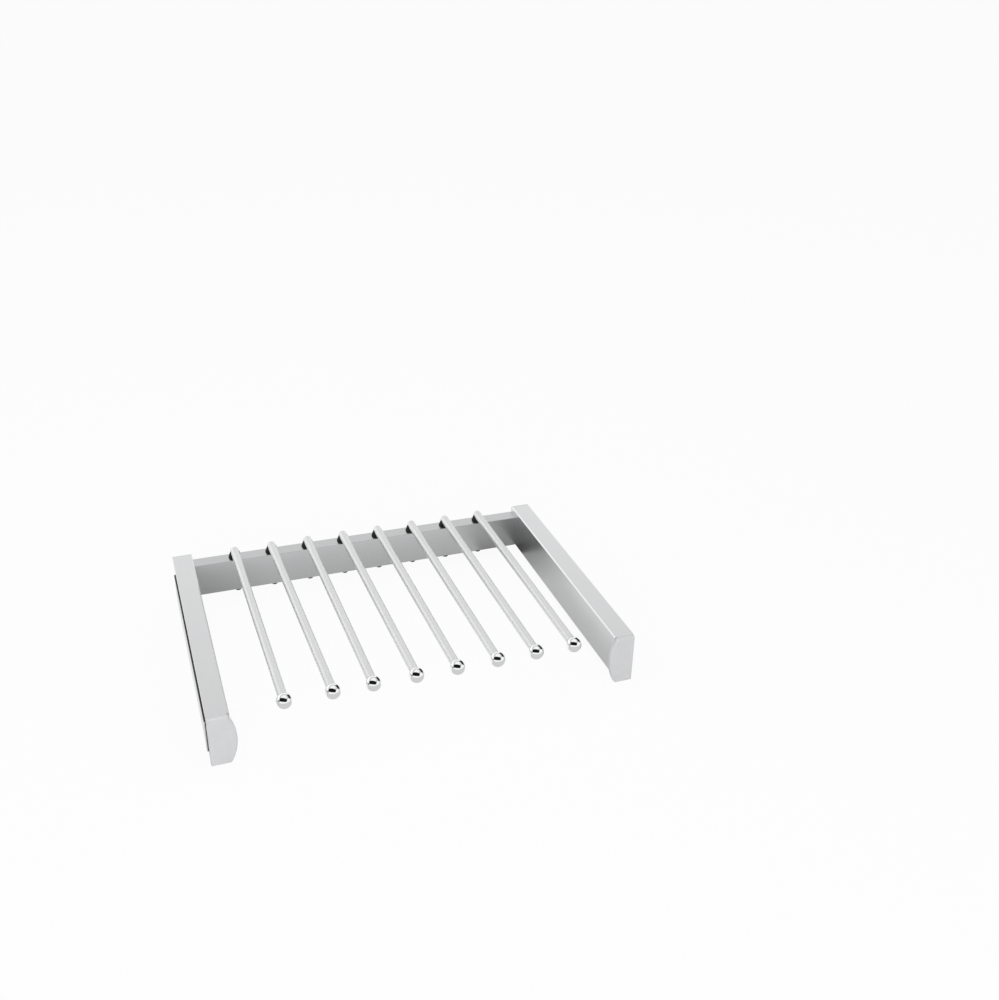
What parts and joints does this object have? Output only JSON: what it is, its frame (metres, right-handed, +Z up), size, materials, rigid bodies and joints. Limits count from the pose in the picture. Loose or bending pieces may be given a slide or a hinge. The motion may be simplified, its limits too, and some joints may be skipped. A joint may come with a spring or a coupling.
{
  "type": "pull-out trouser rack",
  "caption": "Pull-out trouser rack for a wardrobe: ball-tipped arms on an aluminium frame that runs on full-extension ball-bearing slides.",
  "frame": {"origin": "midway between the two slides, on the line of their cabinet screws and halfway between the front and the rear screw, with the rack pushed in", "axes": "+X to the right across the cabinet, -Y out of the cabinet's front, +Z up"},
  "size_m": [0.564, 0.397, 0.08],
  "materials": {
    "anodised_aluminium": "satin anodised",
    "silver_plastic": "fine silver lacquer",
    "polished_tube": "bright anodised",
    "chrome_ball": "mirror",
    "black_plastic": "fine grain",
    "dark_fastener": "black oxide",
    "zinc_fastener": "bright zinc",
    "cast_zinc": "as cast",
    "black_steel": "black coating, semi gloss",
    "zinc_steel": "blue zinc",
    "cage_steel": "plain",
    "ball_steel": "ground",
    "bumper_rubber": "matt"
  },
  "bodies": {
    "cabinet_side": {"left_cabinet_member": "black_steel", "right_cabinet_member": "black_steel", "left_rear_bumper": "bumper_rubber", "right_rear_bumper": "bumper_rubber"},
    "rack": {"left_drawer_member": "zinc_steel", "right_drawer_member": "zinc_steel", "slide_screws": "zinc_fastener", "left_side_profile": "anodised_aluminium", "right_side_profile": "anodised_aluminium", "left_front_cap": "silver_plastic", "right_front_cap": "silver_plastic", "left_rear_cap": "silver_plastic", "right_rear_cap": "silver_plastic", "left_corner_block": "cast_zinc", "right_corner_block": "cast_zinc", "crossbar": "anodised_aluminium", "corner_screws": "zinc_fastener", "arm_holder_1": "black_plastic", "arm_holder_2": "black_plastic", "arm_holder_3": "black_plastic", "arm_holder_4": "black_plastic", "arm_holder_5": "black_plastic", "arm_holder_6": "black_plastic", "arm_holder_7": "black_plastic", "arm_holder_8": "black_plastic", "arm_1": "polished_tube", "arm_2": "polished_tube", "arm_3": "polished_tube", "arm_4": "polished_tube", "arm_5": "polished_tube", "arm_6": "polished_tube", "arm_7": "polished_tube", "arm_8": "polished_tube", "arm_end_plugs": "polished_tube", "ball_tip_1": "chrome_ball", "ball_tip_2": "chrome_ball", "ball_tip_3": "chrome_ball", "ball_tip_4": "chrome_ball", "ball_tip_5": "chrome_ball", "ball_tip_6": "chrome_ball", "ball_tip_7": "chrome_ball", "ball_tip_8": "chrome_ball", "clamp_screws": "dark_fastener", "clamp_washers": "dark_fastener"},
    "left_middle": {"left_middle_member": "zinc_steel"},
    "left_outer_row": {"left_outer_ball_cage": "cage_steel", "left_outer_balls": "ball_steel"},
    "left_inner_row": {"left_inner_ball_cage": "cage_steel", "left_inner_balls": "ball_steel"},
    "right_middle": {"right_middle_member": "zinc_steel"},
    "right_outer_row": {"right_outer_ball_cage": "cage_steel", "right_outer_balls": "ball_steel"},
    "right_inner_row": {"right_inner_ball_cage": "cage_steel", "right_inner_balls": "ball_steel"}
  },
  "joints": [
    {"name": "rack_slide", "type": "slide", "parent": "cabinet_side", "child": "rack", "axis": [0, -1, 0], "range_m": [0, 0.35]},
    {"name": "left_middle_slide", "type": "slide", "parent": "cabinet_side", "child": "left_middle", "axis": [0, -1, 0], "range_m": [0, 0.175]},
    {"name": "left_outer_row_slide", "type": "slide", "parent": "cabinet_side", "child": "left_outer_row", "axis": [0, -1, 0], "range_m": [0, 0.0875]},
    {"name": "left_inner_row_slide", "type": "slide", "parent": "cabinet_side", "child": "left_inner_row", "axis": [0, -1, 0], "range_m": [0, 0.2625]},
    {"name": "right_middle_slide", "type": "slide", "parent": "cabinet_side", "child": "right_middle", "axis": [0, -1, 0], "range_m": [0, 0.175]},
    {"name": "right_outer_row_slide", "type": "slide", "parent": "cabinet_side", "child": "right_outer_row", "axis": [0, -1, 0], "range_m": [0, 0.0875]},
    {"name": "right_inner_row_slide", "type": "slide", "parent": "cabinet_side", "child": "right_inner_row", "axis": [0, -1, 0], "range_m": [0, 0.2625]}
  ],
  "couplings": [
    {"joint": "left_middle_slide", "follows": "rack_slide", "ratio": 0.5},
    {"joint": "left_outer_row_slide", "follows": "rack_slide", "ratio": 0.25},
    {"joint": "left_inner_row_slide", "follows": "rack_slide", "ratio": 0.75},
    {"joint": "right_middle_slide", "follows": "rack_slide", "ratio": 0.5},
    {"joint": "right_outer_row_slide", "follows": "rack_slide", "ratio": 0.25},
    {"joint": "right_inner_row_slide", "follows": "rack_slide", "ratio": 0.75}
  ]
}
